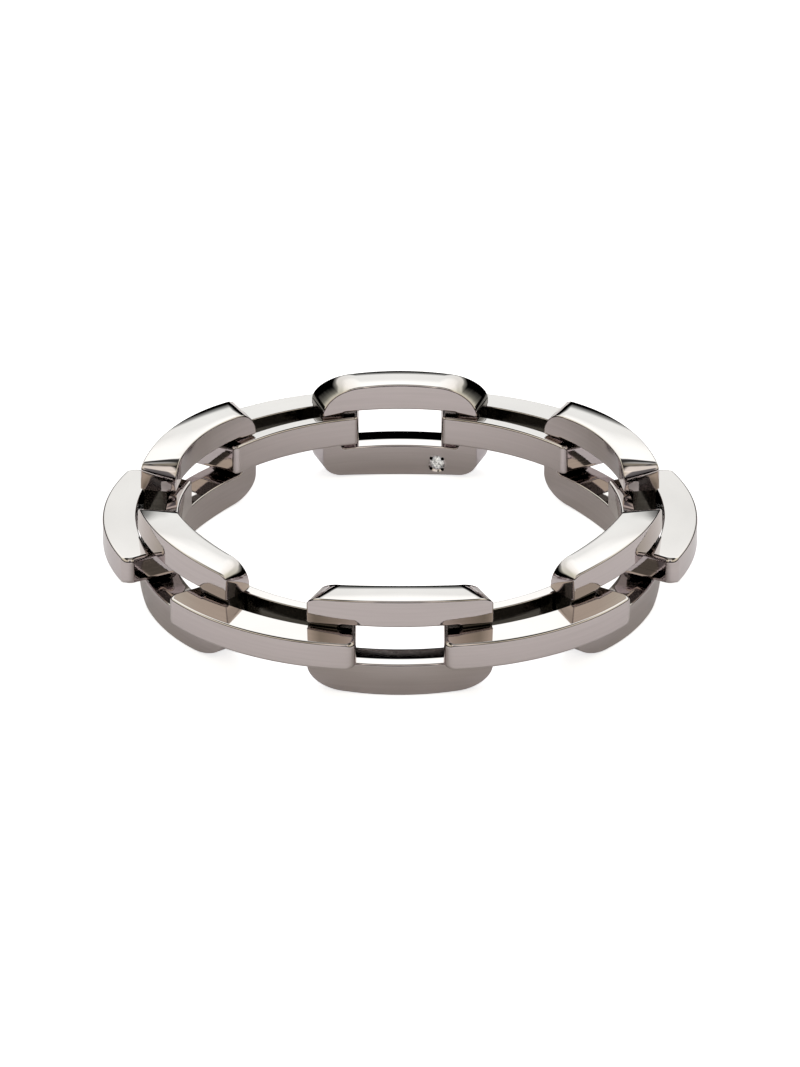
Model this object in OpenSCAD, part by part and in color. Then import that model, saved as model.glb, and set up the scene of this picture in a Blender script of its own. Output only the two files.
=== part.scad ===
// A link ring for a finger: twelve interlocked rectangular links, closed to a circle.
// Six links stand on edge with their open face outward, and six lie flat between them.
// The ring lies on its side. Its axis is Z, its underside is z = 0 and its front is toward -Y.
// Angles are measured from the front, toward +X.

/* [Ring] */
// Diameter of the finger hole, between the inner bars of the flat links
finger_d = 17.5; // [15:0.1:20]
// Gap on each side of a standing link where it passes through a flat one
link_gap = 0.06; // [0.03:0.01:0.1]

/* [Standing links] */
// Angle from the middle of a standing link to its end
standing_half_angle = 20.1; // [19:0.1:21]
// Height of a standing link, which is the width of the band
standing_height = 4.05; // [3.8:0.05:4.6]
// Thickness of a standing link, in toward the finger
standing_depth = 1.45; // [1.2:0.05:1.6]
// How far the finger side of a standing link lies behind that of the flat links
set_back = 0.3; // [0.2:0.02:0.5]
// Height of the bar below the opening
lower_bar = 1.34; // [1.1:0.02:1.4]
// Height of the bar above the opening
upper_bar = 1.12; // [1:0.02:1.2]
// Length of the opening
opening_length = 4.8; // [4.4:0.05:5]
// Bevel of the outer corners
standing_bevel = 0.7; // [0.4:0.05:1.2]
// Radius of the opening's corners
opening_corner = 0.2; // [0.1:0.05:0.4]

/* [Flat links] */
// Height of the underside of a flat link above the underside of the ring
flat_rise = 1.58; // [1.5:0.02:1.6]
// Height of a flat link
flat_height = 1.22; // [1:0.02:1.26]
// Width of the bar on the finger side
inner_bar = 0.56; // [0.5:0.02:0.8]
// Width of the slot between the two bars
slot_width = 1.14; // [1:0.02:1.2]
// Width of the bar on the outside, at its middle
outer_bar = 1.34; // [1:0.02:1.5]
// Distance from the middle of a standing link to the end of each flat link hooked in it
end_distance = 1.68; // [1.5:0.02:1.8]
// Radius of the outer edge, tighter than the ring's own so that the link bulges
bulge_r = 9.5; // [9:0.1:11]
// Bevel of the two outer corners
outer_bevel = 0.3; // [0.1:0.05:0.5]
// Bevel of the two inner corners
inner_bevel = 0.2; // [0.1:0.05:0.3]

/* [Diamond] */
// Diameter of the girdle
diamond_d = 0.58; // [0.5:0.02:0.8]
// Height of its middle above the underside of the ring
diamond_z = 0.56; // [0.5:0.02:0.7]
// Distance along the standing link from its middle
diamond_along = 1.5; // [0.5:0.1:2.2]

/* [Hidden] */
pairs = 6;
pitch = 360 / pairs;

finger_r = finger_d / 2;
slot_inner_r = finger_r + inner_bar;
slot_outer_r = slot_inner_r + slot_width;
flat_outer_r = slot_outer_r + outer_bar;
standing_inner_r = finger_r + set_back;
standing_outer_r = standing_inner_r + standing_depth;
neck_low = flat_rise - link_gap;
neck_height = flat_height + 2 * link_gap;
bulge_centre = flat_outer_r - bulge_r;
opening_top = standing_height - upper_bar;

// The diamond is in the standing link at the back, on its finger side.
diamond_link = pairs / 2 + 1;
diamond_angle = -asin(diamond_along / standing_inner_r);
seat_clearance = 0.03;
seat_depth = 0.4;
girdle_depth = 0.1;
girdle_height = 0.02;
pavilion_height = 0.25;
table_share = 0.57;
facets = 8;

metal = [0.79, 0.77, 0.76];
round_fn = 96;
// How far cutting shapes reach past the metal they cut
past = 0.05;
far = 2 * flat_outer_r;

// A point in plan at radius r and angle a from the front
function plan_point(r, a) = [r * sin(a), -r * cos(a)];

// How far from the axis a flat link's two end walls would meet, at this distance from its neighbours' middles
function meeting(distance) = distance / sin(pitch / 2);

// The point of a flat link's end wall at distance r from the point (0, -centre)
function end_point(centre, r) =
    let (k = meeting(end_distance) - centre)
    [0, -meeting(end_distance)]
    + plan_point(sqrt(r * r - pow(k * sin(pitch / 2), 2)) - k * cos(pitch / 2), pitch / 2);

// A rectangle from z low to z high with rounded corners, centred on x = 0
module rounded_slab(width, low, high, radius) {
    translate([-width / 2 + radius, low]) square([width - 2 * radius, high - low]);
    translate([-width / 2, low + radius]) square([width, high - low - 2 * radius]);
    for (side = [-1, 1], z = [low + radius, high - radius])
        translate([side * (width / 2 - radius), z]) circle(radius, $fn = round_fn);
}

// The part of the plane within angle a of the front, from the point (0, -start)
module wedge(a, start = 0) {
    translate([0, -start]) polygon([[0, 0], plan_point(far, -a), plan_point(far, a)]);
}

module tube(inner, outer, height) {
    difference() {
        cylinder(r = outer, h = height, $fn = round_fn);
        translate([0, 0, -past]) cylinder(r = inner, h = height + 2 * past, $fn = round_fn);
    }
}

// The diamond's own frame, with its table toward the finger, in a standing link at the front
module at_diamond() {
    rotate([0, 0, diamond_angle]) translate([0, -standing_inner_r, diamond_z]) rotate([-90, 0, 0]) children();
}

// What bevels the lower corner of a standing link, at the end with angles above zero
module bevel_cut() {
    reach = standing_bevel + past;
    rotate([90, 0, standing_half_angle]) linear_extrude(far)
        polygon([[-reach, -past], [past, -past], [past, reach]]);
}

module standing_frame() {
    difference() {
        intersection() {
            tube(standing_inner_r, standing_outer_r, standing_height);
            translate([0, 0, -past]) linear_extrude(standing_height + 2 * past) wedge(standing_half_angle);
        }
        rotate([90, 0, 0]) linear_extrude(far) rounded_slab(opening_length, lower_bar, opening_top, opening_corner);
        for (side = [0, 1]) mirror([side, 0, 0]) {
            bevel_cut();
            translate([0, 0, standing_height]) mirror([0, 0, 1]) bevel_cut();
        }
    }
}

// What thins the legs of a standing link where they pass through the flat links' slots
module neck_cut() {
    translate([0, 0, neck_low]) {
        tube(slot_outer_r - link_gap, far, neck_height);
        cylinder(r = slot_inner_r + link_gap, h = neck_height, $fn = round_fn);
    }
}

// What bevels one corner of a flat link, at distance r from (0, -centre). Way is 1 outside and -1 inside.
module corner_cut(centre, r, way, bevel) {
    p = end_point(centre, r);
    a = p - way * bevel * plan_point(1, pitch / 2);
    b = p + bevel / r * [p[1] + centre, -p[0]];
    polygon([a + (a - b) / 2, b + (b - a) / 2, p + 2 * (p - (a + b) / 2)]);
}

// The slot of a flat link. Its ends lie along the legs that pass through it.
module slot_plan() {
    intersection() {
        difference() {
            circle(slot_outer_r, $fn = round_fn);
            circle(slot_inner_r, $fn = round_fn);
        }
        wedge(pitch / 2, meeting(opening_length / 2 - link_gap));
    }
}

module flat_plan() {
    difference() {
        intersection() {
            translate([0, -bulge_centre]) circle(bulge_r, $fn = round_fn);
            wedge(pitch / 2, meeting(end_distance));
        }
        circle(finger_r, $fn = round_fn);
        slot_plan();
        for (side = [0, 1]) mirror([side, 0]) {
            corner_cut(bulge_centre, bulge_r, 1, outer_bevel);
            corner_cut(0, finger_r, -1, inner_bevel);
        }
    }
}

module standing_link(n) {
    color(metal) rotate([0, 0, pitch * (n - 1)]) difference() {
        standing_frame();
        neck_cut();
        if (n == diamond_link) at_diamond() translate([0, 0, -seat_depth])
            cylinder(d = diamond_d + 2 * seat_clearance, h = 2 * seat_depth, $fn = round_fn);
    }
}

module flat_link(n) {
    color(metal) rotate([0, 0, pitch * (n - 0.5)]) translate([0, 0, flat_rise])
        linear_extrude(flat_height) flat_plan();
}

module diamond() {
    color("azure") rotate([0, 0, pitch * (diamond_link - 1)]) at_diamond() {
        translate([0, 0, -girdle_depth]) cylinder(d1 = diamond_d, d2 = table_share * diamond_d,
                                                  h = girdle_depth, $fn = facets);
        translate([0, 0, -girdle_depth - girdle_height]) cylinder(d = diamond_d, h = girdle_height, $fn = facets);
        translate([0, 0, -girdle_depth - girdle_height - pavilion_height])
            cylinder(d1 = 0, d2 = diamond_d, h = pavilion_height, $fn = facets);
    }
}

for (n = [1:pairs]) standing_link(n);
for (n = [1:pairs]) flat_link(n);
diamond();
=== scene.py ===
"""The look of a link ring in polished white gold, lying on its side, with a small diamond in its back link.

Lengths here are millimetres, as in the part's own source, until MM turns them into Blender's metres.
Angles in plan are degrees from the front of the ring, toward +X.
Every link is a closed frame, made of stations round its loop. At each station a closed profile runs from the
outer outline to the opening and back.
"""
import math

import bpy
import numpy as np
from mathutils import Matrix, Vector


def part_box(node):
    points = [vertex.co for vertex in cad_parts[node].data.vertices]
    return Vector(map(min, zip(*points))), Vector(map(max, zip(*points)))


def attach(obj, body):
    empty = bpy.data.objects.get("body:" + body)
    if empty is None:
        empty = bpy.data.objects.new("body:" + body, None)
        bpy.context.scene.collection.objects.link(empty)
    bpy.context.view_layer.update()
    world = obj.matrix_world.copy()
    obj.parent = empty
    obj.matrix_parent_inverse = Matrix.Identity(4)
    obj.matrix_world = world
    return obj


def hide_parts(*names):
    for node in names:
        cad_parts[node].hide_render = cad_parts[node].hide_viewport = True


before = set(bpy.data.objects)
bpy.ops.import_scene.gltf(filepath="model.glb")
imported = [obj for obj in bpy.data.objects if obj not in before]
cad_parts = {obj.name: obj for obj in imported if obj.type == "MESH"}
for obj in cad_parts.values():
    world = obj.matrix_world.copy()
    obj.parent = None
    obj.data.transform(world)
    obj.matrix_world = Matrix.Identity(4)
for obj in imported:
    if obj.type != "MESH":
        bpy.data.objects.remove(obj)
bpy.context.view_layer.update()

MM = 0.001


def box_mm(node):
    low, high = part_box(node)
    return np.array(low) / MM, np.array(high) / MM


# Sizes read from the frame
PAIRS = 6
PITCH = 360 / PAIRS
standing_low, standing_high = box_mm("standing_link_1")
flat_low, flat_high = box_mm("flat_link_2")  # its middle is on the X axis
standing_height = standing_high[2]
standing_outer_r = -standing_low[1]
flat_outer_r = flat_high[0]
flat_bottom = flat_low[2]
flat_top = flat_high[2]

# Sizes that the frame's boxes don't show: radii of the links, and the necks of legs in the flat links' slots
FINGER_R = 8.75
SET_BACK = 0.3
INNER_BAR = 0.56
SLOT_WIDTH = 1.14
LINK_GAP = 0.06
standing_inner_r = FINGER_R + SET_BACK
slot_inner_r = FINGER_R + INNER_BAR
slot_outer_r = slot_inner_r + SLOT_WIDTH
neck_inner_r = slot_inner_r + LINK_GAP
neck_outer_r = slot_outer_r - LINK_GAP
neck_low = flat_bottom - LINK_GAP
neck_high = flat_top + LINK_GAP

# Standing links: bars, opening, and the angle from the middle to an end
LOWER_BAR = 1.34
UPPER_BAR = 1.12
OPENING_LENGTH = 4.8
OPENING_CORNER = 0.2
STANDING_HALF_ANGLE = 20.1

# Flat links: how far the ends are from the middles of their neighbours, the outer edge and the corners
END_DISTANCE = 1.68
BULGE_R = 9.5
FLAT_OUTER_CORNER = 0.4
FLAT_INNER_CORNER = 0.25
SLOT_CORNER = 0.12

# Width and height of a standing link's corners: outer side below and above, then finger side the same
FRONT_CORNERS = ((1.5, 1.0), (0.6, 0.42)), ((0.85, 0.85), (0.9, 0.55))
SIDE_CORNERS = ((2.0, 1.3), (0.42, 0.4)), ((1.3, 1.1), (1.1, 1.05))
BACK_CORNERS = ((0.95, 0.85), (1.7, 0.95)), ((0.85, 0.85), (1.7, 1.12))
# Shares of a corner over which its normals turn, at its start and its end, and how much the start turns
ROUND_CORNER = (0.45, 0.45, 0.5)
FACETED_CORNER = (0.4, 0.2, 0.56)

# Rounded edges: of the standing links, of the flat links' sides and ends, and of the ledges at a leg's neck.
# LEDGE_LEAN is how far the normals lean there.
STANDING_EDGE = 0.08
FLAT_EDGE = 0.1
FLAT_END_EDGE = 0.2
LEDGE_EDGE = 0.045
LEDGE_LEAN = 1.5
# A flat link's edge is an end's where its normal points this far sideways, and fully so after the reach
END_EDGE_START = 0.5
END_EDGE_REACH = 0.4

# How the faces curve. The undersides and tops of the standing links bow by this much per squared length, on
# the outer and on the finger side.
OUTER_BOW = 0.012
FINGER_BOW = 0.02
# Their walls are crowned, the opening's walls have a soft ridge, and the outer side is a barrel.
CROWN_DROP = 0.04
CROWN_POWER = 2.6
GABLE_DROP = 0.12
RIDGE_SHARE = 0.04
BARREL_DROP = 0.03
# The share of a crown's or a ridge's drop that the points get. The normals get all of its slope.
DROP_SHARE = 0.25
# Where the ridge along an opening's wall lies, from -1 (finger side) to 1 (outside)
RIDGE_PLACE = 0.35
BACK_RIDGE_PLACE = -0.2
# The tops of the flat links fall toward the outside.
FLAT_TOP_SLOPE = math.tan(math.radians(2.3))

# Height up to which the ends of the back link get painted shade: the recess material's near-black tint, with
# a rougher gloss
BACK_END_DARK = 3.45

# Diamond, in the back link, on the finger side below the opening
DIAMOND_LINK = 4
DIAMOND_SIDES = 8
DIAMOND_ALONG = 1.5
DIAMOND_Z = 0.56
DIAMOND_R = 0.29
CROWN_HEIGHT = 0.1
GIRDLE_HEIGHT = 0.02
PAVILION_HEIGHT = 0.25
# Shares of its radius that the table and the lower mains reach, and of the crown's height for its stars
TABLE_SHARE = 0.57
MAIN_SHARE = 0.3
STAR_SHARE = 0.45

# Its seat: half the square that is cut out of the link's mesh, then the rings of points that fill it again,
# from the mouth down: radius, depth and how far the normals lean toward the stone's axis
SEAT_BLOCK = 0.5
MOUTH_R = 0.37
SEAT_R = 0.3
TIP_R = 0.06
CENTRE_R = 0.001
RIM_DEPTH = 0.09
GIRDLE_DEPTH = 0.13
SEAT_DEPTH = 0.42
BEVEL_LEAN = 1.0
WALL_LEAN = 4.0
SEAT_RINGS = (
    (MOUTH_R, 0.0, 0.0),
    (MOUTH_R, 0.0, BEVEL_LEAN),
    (SEAT_R, RIM_DEPTH, BEVEL_LEAN),
    (SEAT_R, RIM_DEPTH, WALL_LEAN),
    (SEAT_R, GIRDLE_DEPTH, WALL_LEAN),
    (SEAT_R, GIRDLE_DEPTH, BEVEL_LEAN),
    (TIP_R, SEAT_DEPTH, BEVEL_LEAN),
    (TIP_R, SEAT_DEPTH, 0.0),
    (CENTRE_R, SEAT_DEPTH, 0.0),
)

# The beads that hold it, and how far they are from its axis
BEADS = 4
BEAD_R = 0.07
BEAD_PLACE = 0.33
BEAD_RINGS = 5
BEAD_SIDES = 12

# Steps along each stretch of a link's loop, and across its faces
LONG_STEPS = 44
BAR_STEPS = 22
SHORT_STEPS = 10
CORNER_STEPS = 14
FACE_STEPS = 8
WALL_STEPS = 14
EDGE_STEPS = 5

# Two directions are taken for one where the angle between them is less
SMALL_ANGLE = 1e-6


def unit(v):
    v = np.asarray(v, float)
    return v / np.linalg.norm(v)


def turn(points, degrees):
    """Points or directions turned about the ring's axis, from the front toward +X."""
    a = math.radians(degrees)
    c, s = math.cos(a), math.sin(a)
    return np.asarray(points) @ np.array([[c, s, 0], [-s, c, 0], [0, 0, 1]])


def line_stretch(a, b, normal, steps):
    """Points and normals from a to just before b."""
    return [(a + (b - a) * k / steps, normal) for k in range(steps)]


def arc_stretch(centre, radius, start, end, steps, inward=False):
    """Points and normals on an arc, angles in degrees, its last point left out."""
    out = []
    for k in range(steps):
        a = math.radians(start + (end - start) * k / steps)
        n = np.array([math.cos(a), math.sin(a)])
        out.append((centre + radius * n, -n if inward else n))
    return out


def opening_side(z, half, low, high, radius):
    """Place and normal, out of the opening, at height z on the right side of the opening."""
    lift = 0.0
    if z < low + radius:
        lift = (z - low - radius) / radius
    if z > high - radius:
        lift = (z - high + radius) / radius
    run = math.sqrt(1 - lift * lift)
    return np.array([half - radius + radius * run, z]), np.array([run, lift])


def corner_walk(centre, radius, start, end):
    """Places and normals round a corner, from just past the start angle to the end angle, in degrees."""
    centre = np.array(centre)
    walk = arc_stretch(centre, radius, start, end, CORNER_STEPS)[1:]
    return walk + arc_stretch(centre, radius, end, end, 1)


def soft_corner(start, size, angle, style):
    """Places and normals round a corner from a long side to an end.

    It begins at the place start, where the normal has this angle, and turns to 0 degrees. The normals may
    dwell at one angle on the way, as on a bevel.
    """
    first, last, turned = style
    out = []
    for k in range(1, CORNER_STEPS + 1):
        share = k / CORNER_STEPS
        a = math.radians(90 * share)
        place = start + np.array(size) * [math.sin(a), 1 - math.cos(a)]
        part = turned * min(share / first, 1) + (1 - turned) * max(0.0, (share - 1 + last) / last)
        n = math.radians(angle * (1 - part))
        out.append((place, np.array([math.cos(n), math.sin(n)])))
    return out


def slerp(a, b, share):
    """The direction at this share of the way from a to b."""
    angle = math.acos(max(-1.0, min(1.0, float(a @ b))))
    if angle < SMALL_ANGLE:
        return a
    return (math.sin((1 - share) * angle) * a + math.sin(share * angle) * b) / math.sin(angle)


def rounded_edge(corner, before, after, radius):
    """Points and normals round an edge where faces with these two normals meet."""
    centre = corner - radius * (before + after) / (1 + before @ after)
    out = []
    for k in range(EDGE_STEPS + 1):
        n = slerp(before, after, k / EDGE_STEPS)
        out.append((centre + radius * n, n))
    return out


def crown(across):
    """Drop and slope of a crowned face at a place from -1 to 1 across it. The drop is only a share."""
    share = abs(across) ** CROWN_POWER
    slope = CROWN_POWER * CROWN_DROP * abs(across) ** (CROWN_POWER - 1)
    return DROP_SHARE * CROWN_DROP * share, math.copysign(slope, across)


def gable(ridge):
    """The same for a wall with a soft ridge along it at this place, as a filed opening has."""
    def shape(across):
        bend = math.sqrt((across - ridge) ** 2 + RIDGE_SHARE**2)
        return DROP_SHARE * GABLE_DROP * (bend - RIDGE_SHARE), GABLE_DROP * (across - ridge) / bend

    return shape


def standing_face(x, z, radius, out, lean=0.0):
    """A point and its normal on the outer (out = 1) or finger side (out = -1) of a standing link."""
    up = (z - standing_height / 2) / (standing_height / 2)
    drop = BARREL_DROP * up * up if out > 0 else 0.0
    slope = 2 * BARREL_DROP * up / (standing_height / 2) if out > 0 else 0.0
    r = radius - drop
    radial = np.array([x / r, -math.sqrt(1 - (x / r) ** 2), 0])
    return r * radial + np.array([0, 0, z]), unit(out * radial + np.array([0, 0, slope + lean]))


def standing_wall(ends, across, shape, band):
    """A point and its normal on a wall of a standing link, across from -1 (finger side) to 1 (outside).

    The ends are the wall's place and normal in elevation on the outer side, and the same on the finger side.
    """
    (out_place, out_normal), (in_place, in_normal) = ends
    depth = standing_outer_r - standing_inner_r
    out_share = (band[1] - standing_inner_r) / depth
    in_share = (band[0] - standing_inner_r) / depth
    outside = standing_face(*(in_place + (out_place - in_place) * out_share), band[1], 1)[0]
    inside = standing_face(*(in_place + (out_place - in_place) * in_share), band[0], -1)[0]
    middle, half = (outside + inside) / 2, (outside - inside) / 2
    flat = in_normal + (out_normal - in_normal) * (across + 1) / 2
    n = np.array([flat[0], 0, flat[1]])
    way = unit(half)
    n = unit(n - (n @ way) * way)
    drop, slope = shape(across)
    return middle + across * half - drop * n, unit(n + slope / np.linalg.norm(half) * way)


def standing_section(outer, opening, band, filed):
    """The closed profile at one station: outer side, outer wall, finger side, opening wall.

    The band gives the radii of the finger side and the outer side, and how far their normals lean up.
    """
    lean = band[2]
    corners = []
    for ends, shape in ((outer, crown), (opening, filed)):
        for across, radius, out in ((1, band[1], 1), (-1, band[0], -1)):
            point, wall_normal = standing_wall(ends, across, shape, band)
            face_normal = standing_face(point[0], point[2], radius, out, lean)[1]
            corners.append((point, wall_normal, face_normal))
    oo, oi, io, ii = corners
    steps = range(1, WALL_STEPS)
    section = rounded_edge(oo[0], oo[2], oo[1], STANDING_EDGE)
    section += [standing_wall(outer, 1 - 2 * k / WALL_STEPS, crown, band) for k in steps]
    section += rounded_edge(oi[0], oi[1], oi[2], STANDING_EDGE)
    section += between_faces(section[-1][0], ii, band[0], -1, lean)
    section += rounded_edge(ii[0], ii[2], ii[1], STANDING_EDGE)
    section += [standing_wall(opening, 2 * k / WALL_STEPS - 1, filed, band) for k in steps]
    section += rounded_edge(io[0], io[1], io[2], STANDING_EDGE)
    section += between_faces(section[-1][0], oo, band[1], 1, lean)
    return section


def between_faces(start, corner, radius, out, lean):
    """Points on a standing link's curved side, from one rounded edge to the next."""
    end = rounded_edge(corner[0], corner[2], corner[1], STANDING_EDGE)[0][0]
    places = [start + (end - start) * k / FACE_STEPS for k in range(1, FACE_STEPS)]
    return [standing_face(p[0], p[2], radius, out, lean) for p in places]


def mesh_piece(name, points, normals, faces, materials, slots=None):
    """A mesh object with the given vertex normals, or flat facets where there are none."""
    mesh = bpy.data.meshes.new(name)
    mesh.from_pydata([tuple(p * MM) for p in points], [], faces)
    for material in materials:
        mesh.materials.append(material)
    if slots is not None:
        mesh.polygons.foreach_set("material_index", slots)
    if normals is not None:
        mesh.polygons.foreach_set("use_smooth", [True] * len(faces))
        mesh.normals_split_custom_set_from_vertices([tuple(n) for n in normals])
    mesh.update()
    piece = bpy.data.objects.new(name, mesh)
    bpy.context.scene.collection.objects.link(piece)
    return piece


def loop_faces(stations, around):
    """Quads between neighbouring stations of a closed loop, station by station."""
    faces = []
    for i in range(stations):
        j = (i + 1) % stations
        for k in range(around):
            m = (k + 1) % around
            faces.append((i * around + k, i * around + m, j * around + m, j * around + k))
    return faces


def bar_outline(half, corner, bow, style):
    """Lower right part of a standing link's outline in elevation, from its middle to its end."""
    line = []
    for k in range(BAR_STEPS + 1):
        x = k / BAR_STEPS * (half - corner[0])
        line.append((np.array([x, bow * x * x]), unit([2 * bow * x, -1.0])))
    start, normal = line[-1]
    size = corner[0], corner[1] - start[1]
    return line + soft_corner(start, size, math.degrees(math.atan2(normal[1], normal[0])), style)


def turned_over(line):
    """The same part of the outline at the top."""
    up, flip = np.array([0, standing_height]), np.array([1, -1])
    return [(up + place * flip, normal * flip) for place, normal in line]


def standing_stations(corners, style):
    """Stations of a standing link, anticlockwise: outer ends, opening ends and the band of radii there.

    The corners are the sizes on the outer side, below and above, and the same on the finger side.
    """
    outer_half = standing_outer_r * math.sin(math.radians(STANDING_HALF_ANGLE))
    finger_half = standing_inner_r * math.sin(math.radians(STANDING_HALF_ANGLE))
    opening_half = OPENING_LENGTH / 2
    opening_top = standing_height - UPPER_BAR
    oc = OPENING_CORNER
    (out_below, out_above), (in_below, in_above) = corners
    low_out = bar_outline(outer_half, out_below, OUTER_BOW, ROUND_CORNER)
    low_in = bar_outline(finger_half, in_below, FINGER_BOW, ROUND_CORNER)
    high_out = turned_over(bar_outline(outer_half, out_above, OUTER_BOW, style))
    high_in = turned_over(bar_outline(finger_half, in_above, FINGER_BOW, style))
    full = (standing_inner_r, standing_outer_r, 0.0)
    neck = (neck_inner_r, neck_outer_r, 0.0)
    e = LEDGE_EDGE
    under = (standing_inner_r + e, standing_outer_r - e, -LEDGE_LEAN)
    over = (standing_inner_r + e, standing_outer_r - e, LEDGE_LEAN)
    first, last = LOWER_BAR + e, opening_top - 2 * e / 3
    side = np.array([1.0, 0.0])
    legs = []
    for z, band in (
        (first, full),
        (neck_low - e, full),
        (neck_low, over),
        (neck_low, neck),
        ((neck_low + neck_high) / 2, neck),
        (neck_high, neck),
        (neck_high, under),
        (last, full),
    ):
        outer = (np.array([outer_half, z]), side), (np.array([finger_half, z]), side)
        legs.append((outer, opening_side(z, opening_half, LOWER_BAR, opening_top, oc), band))

    def bar(out, inside, z, up, turn_end):
        """Stations on the right half of a bar, from its middle to its leg."""
        n = np.array([0.0, up])
        opening = [(np.array([k / BAR_STEPS * (opening_half - oc), z]), n) for k in range(BAR_STEPS + 1)]
        opening += corner_walk((opening_half - oc, z - up * oc), oc, 90 * up, turn_end)
        return [((o, i), place, full) for o, i, place in zip(out, inside, opening)]

    low_turn = -math.degrees(math.asin((LOWER_BAR + oc - first) / oc))
    high_turn = math.degrees(math.asin((last - opening_top + oc) / oc))
    right = bar(low_out, low_in, LOWER_BAR, -1.0, low_turn) + legs
    right += bar(high_out, high_in, opening_top, 1.0, high_turn)[::-1]
    flip = np.array([-1, 1])
    left = []
    for outer, opening, band in right[-2:0:-1]:
        outer = [(place * flip, normal * flip) for place, normal in outer]
        left.append((outer, (opening[0] * flip, opening[1] * flip), band))
    return right + left


def plan_outline(outer, inner, wall_distance, corner_out, corner_in):
    """An outline in plan, as seen at the front: outer arc, end wall, inner arc and end wall.

    Outer and inner are how far each arc's centre lies in front of the axis, and its radius. The end walls lie
    at the wall distance from the middles of the neighbouring standing links.
    """
    heading = PITCH / 2
    a = math.radians(heading)
    way = np.array([math.sin(a), -math.cos(a)])
    side = np.array([math.cos(a), math.sin(a)])

    def corner(arc, out, c):
        """Centre of the corner between the end wall and this arc, and the angle at which the arc ends."""
        centre = np.array([0, -arc[0]])
        d = -wall_distance - c
        t = centre @ way + math.sqrt((arc[1] - out * c) ** 2 - (d - centre @ side) ** 2)
        place = d * side + t * way
        return place, math.degrees(math.atan2(place[0], -(place[1] + arc[0])))

    out_place, out_angle = corner(outer, 1, corner_out)
    in_place, in_angle = corner(inner, -1, corner_in)
    flip = np.array([-1, 1])
    out_wall, in_wall = out_place + corner_out * side, in_place + corner_in * side
    out_centre, in_centre = np.array([0, -outer[0]]), np.array([0, -inner[0]])
    # Angles here are from +X, so the front is at -90
    outline = arc_stretch(out_centre, outer[1], -90 - out_angle, -90 + out_angle, LONG_STEPS)
    outline += arc_stretch(out_place, corner_out, -90 + out_angle, heading, CORNER_STEPS)
    outline += line_stretch(out_wall, in_wall, side, SHORT_STEPS)
    outline += arc_stretch(in_place, corner_in, heading, 90 + in_angle, CORNER_STEPS)
    outline += arc_stretch(in_centre, inner[1], -90 + in_angle, -90 - in_angle, LONG_STEPS, inward=True)
    outline += arc_stretch(in_place * flip, corner_in, 90 - in_angle, 180 - heading, CORNER_STEPS)
    outline += line_stretch(in_wall * flip, out_wall * flip, side * flip, SHORT_STEPS)
    outline += arc_stretch(out_place * flip, corner_out, 180 - heading, 270 - out_angle, CORNER_STEPS)
    return outline


def flat_top_at(place):
    """Height and normal of a flat link's top, which falls a little toward the outside."""
    r = np.linalg.norm(place)
    z = flat_top - FLAT_TOP_SLOPE * (r - FINGER_R)
    return z, unit([FLAT_TOP_SLOPE * place[0] / r, FLAT_TOP_SLOPE * place[1] / r, 1])


def end_share(normal):
    """1 on the ends of a flat link, falling to 0 on its long sides."""
    return min(1.0, max(0.0, (abs(normal[0]) - END_EDGE_START) / END_EDGE_REACH))


def flat_section(outer, slot):
    """The closed profile at one station: outer wall, top, slot wall, underside."""
    (o_place, o_normal), (s_place, s_normal) = outer, slot
    down = np.array([0, 0, -1.0])
    o_edge = FLAT_EDGE + (FLAT_END_EDGE - FLAT_EDGE) * end_share(o_normal)
    s_edge = FLAT_EDGE / 2

    def corners(place, normal):
        z, up = flat_top_at(place)
        wall = np.array([normal[0], normal[1], 0])
        return np.array([*place, z]), np.array([*place, flat_bottom]), wall, up

    o_top, o_low, o_wall, o_up = corners(o_place, o_normal)
    s_top, s_low, s_wall, s_up = corners(s_place, s_normal)

    def stretch(start, end, n_start, n_end, steps):
        return [
            (start + (end - start) * k / steps, unit(n_start + (n_end - n_start) * k / steps))
            for k in range(1, steps)
        ]

    edges = (
        rounded_edge(o_top, o_wall, o_up, o_edge),
        rounded_edge(s_top, s_up, s_wall, s_edge),
        rounded_edge(s_low, s_wall, down, s_edge),
        rounded_edge(o_low, down, o_wall, o_edge),
    )
    section = []
    for k, steps in enumerate((FACE_STEPS, WALL_STEPS, FACE_STEPS, WALL_STEPS)):
        edge, following = edges[k], edges[(k + 1) % 4]
        section += edge
        section += stretch(edge[-1][0], following[0][0], edge[-1][1], following[0][1], steps)
    return section


def flat_shape():
    """The profiles round a flat link at the front."""
    bulge = (flat_outer_r - BULGE_R, BULGE_R)
    outline = plan_outline(bulge, (0, FINGER_R), END_DISTANCE, FLAT_OUTER_CORNER, FLAT_INNER_CORNER)
    leg = OPENING_LENGTH / 2 - LINK_GAP
    slot = plan_outline((0, slot_outer_r), (0, slot_inner_r), leg, SLOT_CORNER, SLOT_CORNER)
    return [flat_section(o, (place, -normal)) for o, (place, normal) in zip(outline, slot)]


def section_sizes():
    """Numbers of points along half a standing link's profile: edge, wall, edge, curved side."""
    return EDGE_STEPS + 1, WALL_STEPS - 1, EDGE_STEPS + 1, FACE_STEPS - 1


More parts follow.
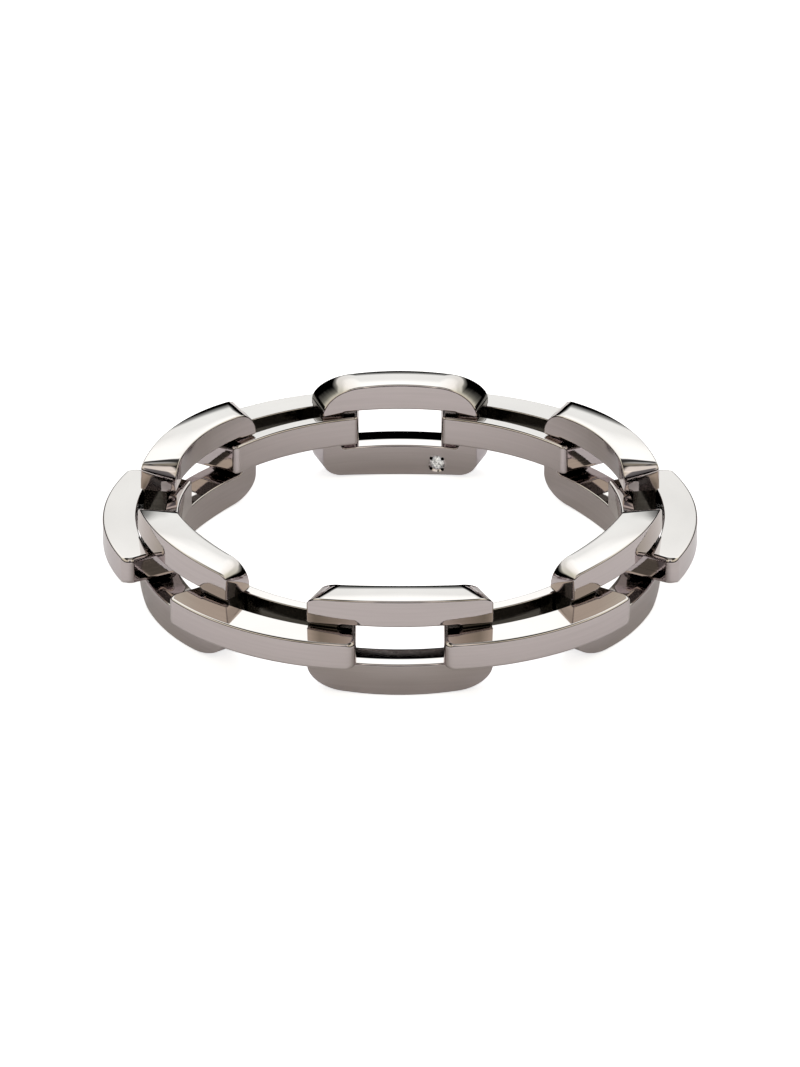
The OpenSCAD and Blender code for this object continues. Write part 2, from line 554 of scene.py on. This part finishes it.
def standing_mesh(corners, style, ridge, dark_end):
    """Points, normals, faces and material slots of a standing link at the front.

    Its necks, its opening's side and top walls, and its ends up to the height dark_end get painted shade: the
    second material, a near-black tint with a rougher gloss.
    """
    all_stations = standing_stations(corners, style)
    shape = []
    for outer, (place, normal), band in all_stations:
        wall = (place, -normal)
        shape.append(standing_section(outer, (wall, wall), band, gable(ridge)))
    around = len(shape[0])
    edge, wall, _, side = section_sizes()
    first = 2 * edge + wall + side + edge - 1
    stations = len(shape)
    low = BAR_STEPS + CORNER_STEPS // 2
    faces = loop_faces(stations, around)
    slots = []
    for i in range(stations):
        legs_and_top = low <= i < stations - low
        outer, _, band = all_stations[i]
        following = all_stations[(i + 1) % stations]
        neck = band[0] == following[2][0] == neck_inner_r
        heights = [outer[0][0][1], following[0][0][0][1]]
        end = neck_low <= min(heights) and max(heights) <= dark_end
        for k in range(around):
            in_opening = legs_and_top and first <= k < first + wall + 1
            on_end = end and edge <= k + 1 <= edge + wall
            # Slot 1 paints shade: a near-black tint on the necks, the opening's walls and the dark ends
            slots.append(int(neck or in_opening or on_end))
    points = [p for section in shape for p, n in section]
    normals = [n for section in shape for p, n in section]
    return points, normals, faces, slots


def flat_mesh():
    """The same for a flat link. The walls of its slot get painted shade: a near-black tint with a rougher
    gloss.
    """
    shape = flat_shape()
    around = len(shape[0])
    first = 2 * (EDGE_STEPS + 1) + FACE_STEPS - 2
    last = first + WALL_STEPS + EDGE_STEPS
    faces = [f[::-1] for f in loop_faces(len(shape), around)]
    # Slot 1, painted shade, on the walls of the slot
    slots = [int(first <= k <= last) for _ in shape for k in range(around)]
    points = [p for section in shape for p, n in section]
    normals = [n for section in shape for p, n in section]
    return points, normals, faces, slots


def stone_frame():
    """Place of the stone on a standing link at the front, and its directions: along, up, to the finger."""
    a = -math.asin(DIAMOND_ALONG / standing_inner_r)
    place = np.array([standing_inner_r * math.sin(a), -standing_inner_r * math.cos(a), DIAMOND_Z])
    along = np.array([math.cos(a), math.sin(a), 0])
    out = np.array([-math.sin(a), math.cos(a), 0])
    return place, along, np.array([0, 0, 1.0]), out


def with_seat(mesh):
    """A standing link's mesh with a round seat in its finger side, and the beads that hold the stone."""
    points, normals, faces, slots = (list(part) for part in mesh)
    place, along, up, out = stone_frame()
    around = sum(section_sizes()) * 2
    edge, wall, _, side = section_sizes()
    first = 2 * edge + wall - 1
    local = [((p - place) @ along, (p - place) @ up) for p in points]

    def near(index):
        return abs(local[index][0]) < SEAT_BLOCK and abs(local[index][1]) < SEAT_BLOCK

    open_faces = {
        f for f, corners in enumerate(faces)
        if first <= f % around < first + side + 1 and all(near(v) for v in corners)
    }
    edges = {}
    for f in open_faces:
        corners = faces[f]
        for v, w in zip(corners, corners[1:] + corners[:1]):
            edges[v] = edges.get(v, []) + [w]
    backward = {(w, v) for v, ends in edges.items() for w in ends}
    border = {v: w for v, ends in edges.items() for w in ends if (v, w) not in backward}
    start = min(border)
    loop = [start]
    while border[loop[-1]] != start:
        loop.append(border[loop[-1]])
    faces = [c for f, c in enumerate(faces) if f not in open_faces]
    slots = [m for f, m in enumerate(slots) if f not in open_faces]
    angles = [math.atan2(local[v][1], local[v][0]) for v in loop]

    def ring(radius, depth, lean):
        """Adds a ring of points. Its normals lean toward the stone's axis by this slope."""
        ids = []
        for a in angles:
            way = math.cos(a) * along + math.sin(a) * up
            flat = place + radius * way
            x, z = flat[0], flat[2]
            surface, normal = standing_face(x, z, standing_inner_r, -1)
            ids.append(len(points))
            points.append(surface - depth * out)
            normals.append(unit(normal - lean * way))
        return ids

    def join(a, b):
        for k in range(len(a)):
            m = (k + 1) % len(a)
            faces.append((a[k], a[m], b[m], b[k]))
            slots.append(0)

    before = loop
    for radius, depth, lean in SEAT_RINGS:
        after = ring(radius, depth, lean)
        join(before, after)
        before = after

    for k in range(BEADS):
        a = math.radians((k + 0.5) * 360 / BEADS)
        centre = place + BEAD_PLACE * (math.cos(a) * along + math.sin(a) * up)
        base = len(points)
        for i in range(BEAD_RINGS + 1):
            tip = math.radians(90 * i / BEAD_RINGS)
            for j in range(BEAD_SIDES):
                b = math.radians(360 * j / BEAD_SIDES)
                n = math.sin(tip) * (math.cos(b) * along + math.sin(b) * up) + math.cos(tip) * out
                points.append(centre + BEAD_R * n)
                normals.append(n)
        for i in range(BEAD_RINGS):
            for j in range(BEAD_SIDES):
                m = (j + 1) % BEAD_SIDES
                row, following = base + i * BEAD_SIDES, base + (i + 1) * BEAD_SIDES
                faces.append((row + j, following + j, following + m, row + m))
                slots.append(0)
    return points, normals, faces, slots


def link(name, node, mesh, degrees, materials):
    """A link's piece, turned from the front to its place in the ring."""
    points, normals, faces, slots = mesh
    piece = mesh_piece(name, turn(points, degrees), turn(normals, degrees), faces, materials, slots)
    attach(piece, "root")
    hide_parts(node)


def diamond(degrees, material):
    """A brilliant: table, stars, kites and girdle facets above, mains and girdle facets below."""
    place, along, up, out = stone_frame()
    sides = DIAMOND_SIDES
    half_turn = math.cos(math.pi / sides)
    table_r = TABLE_SHARE * DIAMOND_R
    low_girdle = CROWN_HEIGHT + GIRDLE_HEIGHT

    def at(radius, corner, depth):
        """The point at this radius and depth, on this corner of the table or between two."""
        a = 2 * math.pi * corner / sides
        return place + radius * (math.cos(a) * along + math.sin(a) * up) - depth * out

    star_depth = STAR_SHARE * CROWN_HEIGHT
    star_r = (table_r + (DIAMOND_R - table_r) * star_depth / CROWN_HEIGHT) / half_turn
    main_r = MAIN_SHARE * DIAMOND_R
    main_depth = low_girdle + PAVILION_HEIGHT * (1 - main_r * half_turn / DIAMOND_R)
    points = [at(table_r, k, 0) for k in range(sides)]
    points += [at(star_r, k + 0.5, star_depth) for k in range(sides)]
    points += [at(DIAMOND_R, j / 2, CROWN_HEIGHT) for j in range(2 * sides)]
    points += [at(DIAMOND_R, j / 2, low_girdle) for j in range(2 * sides)]
    points += [at(main_r, k + 0.5, main_depth) for k in range(sides)]
    points.append(at(0, 0, low_girdle + PAVILION_HEIGHT))
    star, top, low, main, culet = sides, 2 * sides, 4 * sides, 6 * sides, 7 * sides
    faces = [tuple(range(sides))]
    for k in range(sides):
        m, back = (k + 1) % sides, (k - 1) % sides
        g, h, i = 2 * k, 2 * k + 1, (2 * k + 2) % (2 * sides)
        faces.append((k, star + k, m))
        faces.append((k, star + back, top + g, star + k))
        faces.append((star + k, top + g, top + h))
        faces.append((star + k, top + h, top + i))
        faces.append((top + g, low + g, low + h, top + h))
        faces.append((top + h, low + h, low + i, top + i))
        faces.append((main + k, low + h, low + g))
        faces.append((main + k, low + i, low + h))
        faces.append((low + g, main + back, culet, main + k))
    piece = mesh_piece("cut_diamond", turn(points, degrees), None, faces, [material])
    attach(piece, "root")
    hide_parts("diamond")


# Metal: the tint's range and the gloss's range, polished, and in the recesses, where the near-black tint is
# painted shade and the gloss is rougher
POLISHED = (0.54, 0.482, 0.484), (0.58, 0.518, 0.52)
POLISHED_GLOSS = (0.025, 0.055)
RECESS_PAINTED_SHADE = (0.085, 0.078, 0.068), (0.115, 0.106, 0.094)
RECESS_ROUGH_GLOSS = (0.08, 0.14)
# Its polishing lines and the clouds in its gloss, per metre
LINE_SCALE = (260, 260, 11000)
LINE_DETAIL = 3.0
CLOUD_SCALE = 420.0
LINE_BUMP = 0.08
LINE_BUMP_DEPTH = 0.00001
# Painted shade near other metal, from ambient occlusion: how near, the darkest tint it paints, and the
# openness between which it fades
RECESS_REACH = 0.3
RECESS_SHADE_TINT = (0.5, 0.46, 0.42)
RECESS_CLOSED = 0.15
RECESS_OPEN = 0.45
RECESS_SAMPLES = 8
# What a noise's values mostly lie between
NOISE_RANGE = (0.3, 0.7)

# Diamond: the dark and the bright tint of its painted sparkle, which stands in for its reflections, and how
# much of the tint glows, a painted glow
DIAMOND_IOR = 2.42
DIAMOND_CLEAR = 0.5
DIAMOND_PAINTED_GLOW = 0.3
DIAMOND_SPARKLE_TINTS = (0.2, 0.21, 0.22), (1.0, 1.0, 1.0)
DIAMOND_GLOSS = (0.0, 0.01)
SPARKLE_SCALE = 9000.0
SPARKLE_RANGE = (0.42, 0.58)

# Floor: its tint's range, and how much it is lifted where it is seen directly and where metal mirrors it
FLOOR_HALF = 600
FLOOR_TINTS = (0.84, 0.827, 0.87), (0.86, 0.847, 0.89)
FLOOR_SCALE = 60.0
FLOOR_ROUGHNESS = 0.9
FLOOR_SEEN_LIFT = 0.75
FLOOR_MIRRORED_LIFT = 0.07

# Studio, a soft tent. Its light by the angle from the ring's front, up to half a turn, and by the height
# above the horizon, up to a quarter of a turn
HALF_TURN = 180
QUARTER_TURN = 90
AROUND = (
    (0, 0.1),
    (12, 0.12),
    (17, (0.58, 0.56, 0.49)),
    (21, (0.5, 0.48, 0.41)),
    (25, (0.42, 0.4, 0.325)),
    (30, (0.36, 0.34, 0.265)),
    (36, (0.28, 0.27, 0.205)),
    (41, (0.5, 0.48, 0.38)),
    (100, (0.55, 0.54, 0.44)),
    (120, (0.6, 0.63, 0.52)),
    (140, (0.79, 0.83, 0.77)),
    (180, (0.92, 1.0, 0.965)),
)
UPWARD = (
    (0, 0.0),
    (14, 0.0),
    (18, 0.25),
    (20.5, 0.74),
    (26.3, 0.74),
    (31, 0.95),
    (36, 1.0),
    (48, 1.0),
    (55, 0.04),
    (69, 0.03),
    (76, 0.35),
    (90, 0.35),
)
# A panel high in front, by the same two angles, and its light
PANEL_AROUND = ((0, 1.0), (31, 1.0), (42, 0.0))
PANEL_UPWARD = ((46, 0.0), (53, 1.0), (66, 1.0), (73, 0.0))
PANEL_LIGHT = (0.58, 0.57, 0.51)
# What is seen of the studio directly, and its strength
BACKDROP = (0.5, 0.5, 0.5)
STUDIO_STRENGTH = 2.05

# Lamp high behind the ring: how far behind and how high, in metres, its pitch, side, power and colour
LAMP_PLACE = 0.5
LAMP_PITCH = -45
LAMP_SIZE = 0.5
LAMP_POWER = 1.47
LAMP_COLOUR = (1.0, 0.93, 1.0)

# Camera, fitted to the photograph
CAMERA_ELEVATION = 26.3
CAMERA_DISTANCE = 301.5
TARGET = (0.0, 0.0, 1.795)
LENS = 256.35
SENSOR = 36.0
CLIP = (0.01, 10.0)


def feed(tree, socket, value):
    """Sets a socket to a number or a colour, or links another node's output to it."""
    if isinstance(value, bpy.types.NodeSocket):
        tree.links.new(value, socket)
    else:
        socket.default_value = (*value, 1) if isinstance(value, tuple) else value


def node_of(tree, kind, **values):
    node = tree.nodes.new(kind)
    for key, value in values.items():
        setattr(node, key, value)
    return node


def math_node(tree, operation, *values):
    node = node_of(tree, "ShaderNodeMath", operation=operation)
    for socket, value in zip(node.inputs, values):
        feed(tree, socket, value)
    return node.outputs["Value"]


def mixed(tree, blend, factor, a, b):
    """The colour that two colours mix to."""
    node = node_of(tree, "ShaderNodeMix", data_type="RGBA", blend_type=blend)
    colours = [socket for socket in node.inputs if socket.type == "RGBA"]
    for socket, value in zip((node.inputs["Factor"], *colours), (factor, a, b)):
        feed(tree, socket, value)
    return [socket for socket in node.outputs if socket.type == "RGBA"][0]


def ramp(tree, factor, stops, full=1.0):
    """A colour ramp with linear stretches between its stops (place, colour). Places are shares of full."""
    node = tree.nodes.new("ShaderNodeValToRGB")
    node.color_ramp.interpolation = "LINEAR"
    elements = node.color_ramp.elements
    while len(elements) < len(stops):
        elements.new(0.5)
    for element, (place, colour) in zip(elements, stops):
        element.position = place / full
        element.color = (*colour, 1) if isinstance(colour, tuple) else (colour, colour, colour, 1)
    feed(tree, node.inputs["Fac"], factor)
    return node.outputs["Color"]


def noise(tree, place, scale, detail=2.0):
    """The values of a noise at these coordinates, or at the object's generated ones."""
    node = tree.nodes.new("ShaderNodeTexNoise")
    node.inputs["Scale"].default_value = scale
    node.inputs["Detail"].default_value = detail
    if place is not None:
        feed(tree, node.inputs["Vector"], place)
    return node.outputs["Fac"]


def between(tree, values, span, ends):
    """A ramp from the first of two ends to the second, over this span of the values."""
    return ramp(tree, values, tuple(zip(span, ends)))


def new_material(name):
    """A new material, its tree and a function that feeds its shader."""
    material = bpy.data.materials.new(name)
    material.use_nodes = True
    tree = material.node_tree
    shader = tree.nodes["Principled BSDF"]
    return material, tree, lambda socket, value: feed(tree, shader.inputs[socket], value)


def white_gold_material(name, tints, gloss):
    """Metal in a warm grey, with faint polishing lines, a cloudy gloss and shade painted into its colour near
    other metal.
    """
    material, tree, put = new_material(name)
    place = tree.nodes.new("ShaderNodeTexCoord").outputs["Object"]
    mapping = tree.nodes.new("ShaderNodeMapping")
    mapping.inputs["Scale"].default_value = LINE_SCALE
    feed(tree, mapping.inputs["Vector"], place)
    lines = noise(tree, mapping.outputs["Vector"], 1.0, LINE_DETAIL)

    # Painted shade: the colour darkens where other metal is near
    recess = node_of(tree, "ShaderNodeAmbientOcclusion", samples=RECESS_SAMPLES)
    recess.inputs["Distance"].default_value = RECESS_REACH * MM
    stops = (0.0, RECESS_SHADE_TINT), (RECESS_CLOSED, RECESS_SHADE_TINT), (RECESS_OPEN, (1.0, 1.0, 1.0))
    shade = ramp(tree, recess.outputs["AO"], stops)

    bump = tree.nodes.new("ShaderNodeBump")
    bump.inputs["Strength"].default_value = LINE_BUMP
    bump.inputs["Distance"].default_value = LINE_BUMP_DEPTH
    feed(tree, bump.inputs["Height"], lines)

    put("Metallic", 1.0)
    put("Base Color", mixed(tree, "MULTIPLY", 1.0, between(tree, lines, NOISE_RANGE, tints), shade))
    put("Roughness", between(tree, noise(tree, place, CLOUD_SCALE), NOISE_RANGE, gloss))
    put("Normal", bump.outputs["Normal"])
    return material


def diamond_material():
    """Clear, with the strong bending of light that a diamond has, and painted sparkle: noise in dark and
    bright tints that stands in for its reflections, glowing a little in the same tint.
    """
    material, tree, put = new_material("clear_diamond")
    sparkle_noise = noise(tree, tree.nodes.new("ShaderNodeTexCoord").outputs["Object"], SPARKLE_SCALE)
    tint = between(tree, sparkle_noise, SPARKLE_RANGE, DIAMOND_SPARKLE_TINTS)
    put("IOR", DIAMOND_IOR)
    put("Transmission Weight", DIAMOND_CLEAR)
    put("Base Color", tint)
    # Painted light: the stone glows in its sparkle tint, though it is no lamp
    put("Emission Color", tint)
    put("Emission Strength", DIAMOND_PAINTED_GLOW)
    put("Roughness", between(tree, sparkle_noise, NOISE_RANGE, DIAMOND_GLOSS))
    return material


def floor_material():
    """Matt white. What is seen of it directly is lifted, so that the ring's shadow stays faint."""
    material, tree, put = new_material("pale_floor")
    path = tree.nodes.new("ShaderNodeLightPath")
    seen = math_node(tree, "MULTIPLY", path.outputs["Is Camera Ray"], FLOOR_SEEN_LIFT)
    mirrored = math_node(tree, "MULTIPLY", path.outputs["Is Glossy Ray"], FLOOR_MIRRORED_LIFT)
    put("Roughness", FLOOR_ROUGHNESS)
    put("Specular IOR Level", 0.0)
    put("Base Color", between(tree, noise(tree, None, FLOOR_SCALE), NOISE_RANGE, FLOOR_TINTS))
    put("Emission Color", (1.0, 1.0, 1.0))
    put("Emission Strength", math_node(tree, "ADD", seen, mirrored))
    return material


def make_floor():
    half = FLOOR_HALF * MM
    corners = (-half, -half, 0), (half, -half, 0), (half, half, 0), (-half, half, 0)
    mesh = bpy.data.meshes.new("floor")
    mesh.from_pydata(corners, [], [(0, 1, 2, 3)])
    mesh.materials.append(floor_material())
    floor = bpy.data.objects.new("floor", mesh)
    bpy.context.scene.collection.objects.link(floor)


def make_world():
    """A soft tent: bright behind, cream at the sides, dark in front and along the horizon, and its panel."""
    world = bpy.data.worlds.new("studio")
    world.use_nodes = True
    bpy.context.scene.world = world
    tree = world.node_tree
    background = tree.nodes["Background"]
    direction = tree.nodes.new("ShaderNodeSeparateXYZ")
    feed(tree, direction.inputs["Vector"], tree.nodes.new("ShaderNodeTexCoord").outputs["Generated"])
    x, y, z = (direction.outputs[k] for k in "XYZ")
    height = math_node(tree, "MULTIPLY", math_node(tree, "ARCSINE", z), 2 / math.pi)
    angle = math_node(tree, "ARCTAN2", x, math_node(tree, "MULTIPLY", y, -1))
    angle = math_node(tree, "MULTIPLY", math_node(tree, "ABSOLUTE", angle), 1 / math.pi)
    around = ramp(tree, angle, AROUND, HALF_TURN)
    upward = ramp(tree, height, UPWARD, QUARTER_TURN)
    tent = mixed(tree, "MULTIPLY", 1.0, around, upward)
    around = ramp(tree, angle, PANEL_AROUND, HALF_TURN)
    upward = ramp(tree, height, PANEL_UPWARD, QUARTER_TURN)
    studio = mixed(tree, "ADD", math_node(tree, "MULTIPLY", around, upward), tent, PANEL_LIGHT)
    seen = tree.nodes.new("ShaderNodeLightPath").outputs["Is Camera Ray"]
    feed(tree, background.inputs["Color"], mixed(tree, "MIX", seen, studio, BACKDROP))
    background.inputs["Strength"].default_value = STUDIO_STRENGTH


def make_lamp():
    """A large soft lamp high behind the ring. It lights the floor and isn't mirrored in the metal."""
    light = bpy.data.lights.new("rear_softbox", "AREA")
    light.shape = "SQUARE"
    light.size = LAMP_SIZE
    light.energy = LAMP_POWER
    light.color = LAMP_COLOUR
    lamp = bpy.data.objects.new("rear_softbox", light)
    lamp.location = (0, LAMP_PLACE, LAMP_PLACE)
    lamp.rotation_euler = (math.radians(LAMP_PITCH), 0, 0)
    lamp.visible_glossy = False
    bpy.context.scene.collection.objects.link(lamp)


def make_camera():
    elevation = math.radians(CAMERA_ELEVATION)
    data = bpy.data.cameras.new("camera")
    data.lens = LENS
    data.sensor_width = SENSOR
    data.clip_start, data.clip_end = CLIP
    camera = bpy.data.objects.new("camera", data)
    camera.location = (
        TARGET[0] * MM,
        (TARGET[1] - CAMERA_DISTANCE * math.cos(elevation)) * MM,
        (TARGET[2] + CAMERA_DISTANCE * math.sin(elevation)) * MM,
    )
    camera.rotation_euler = (math.pi / 2 - elevation, 0, 0)
    bpy.context.scene.collection.objects.link(camera)
    bpy.context.scene.camera = camera


make_camera()
make_world()
make_lamp()
make_floor()
gold = [
    white_gold_material("polished_white_gold", POLISHED, POLISHED_GLOSS),
    # The second material is painted shade for the recesses: a near-black tint, with a rougher gloss
    white_gold_material("rough_recess_painted_shade", RECESS_PAINTED_SHADE, RECESS_ROUGH_GLOSS),
]
front = standing_mesh(FRONT_CORNERS, ROUND_CORNER, RIDGE_PLACE, neck_high)
side = standing_mesh(SIDE_CORNERS, ROUND_CORNER, RIDGE_PLACE, neck_high)
set_with_stone = with_seat(standing_mesh(BACK_CORNERS, FACETED_CORNER, BACK_RIDGE_PLACE, BACK_END_DARK))
flat = flat_mesh()
standing = (front, side, side, set_with_stone, side, side)
for n, shape in enumerate(standing, 1):
    link(f"polished_standing_link_{n}", f"standing_link_{n}", shape, PITCH * (n - 1), gold)
    link(f"polished_flat_link_{n}", f"flat_link_{n}", flat, PITCH * (n - 0.5), gold)
diamond(PITCH * (DIAMOND_LINK - 1), diamond_material())
bpy.context.scene.view_settings.view_transform = "Standard"
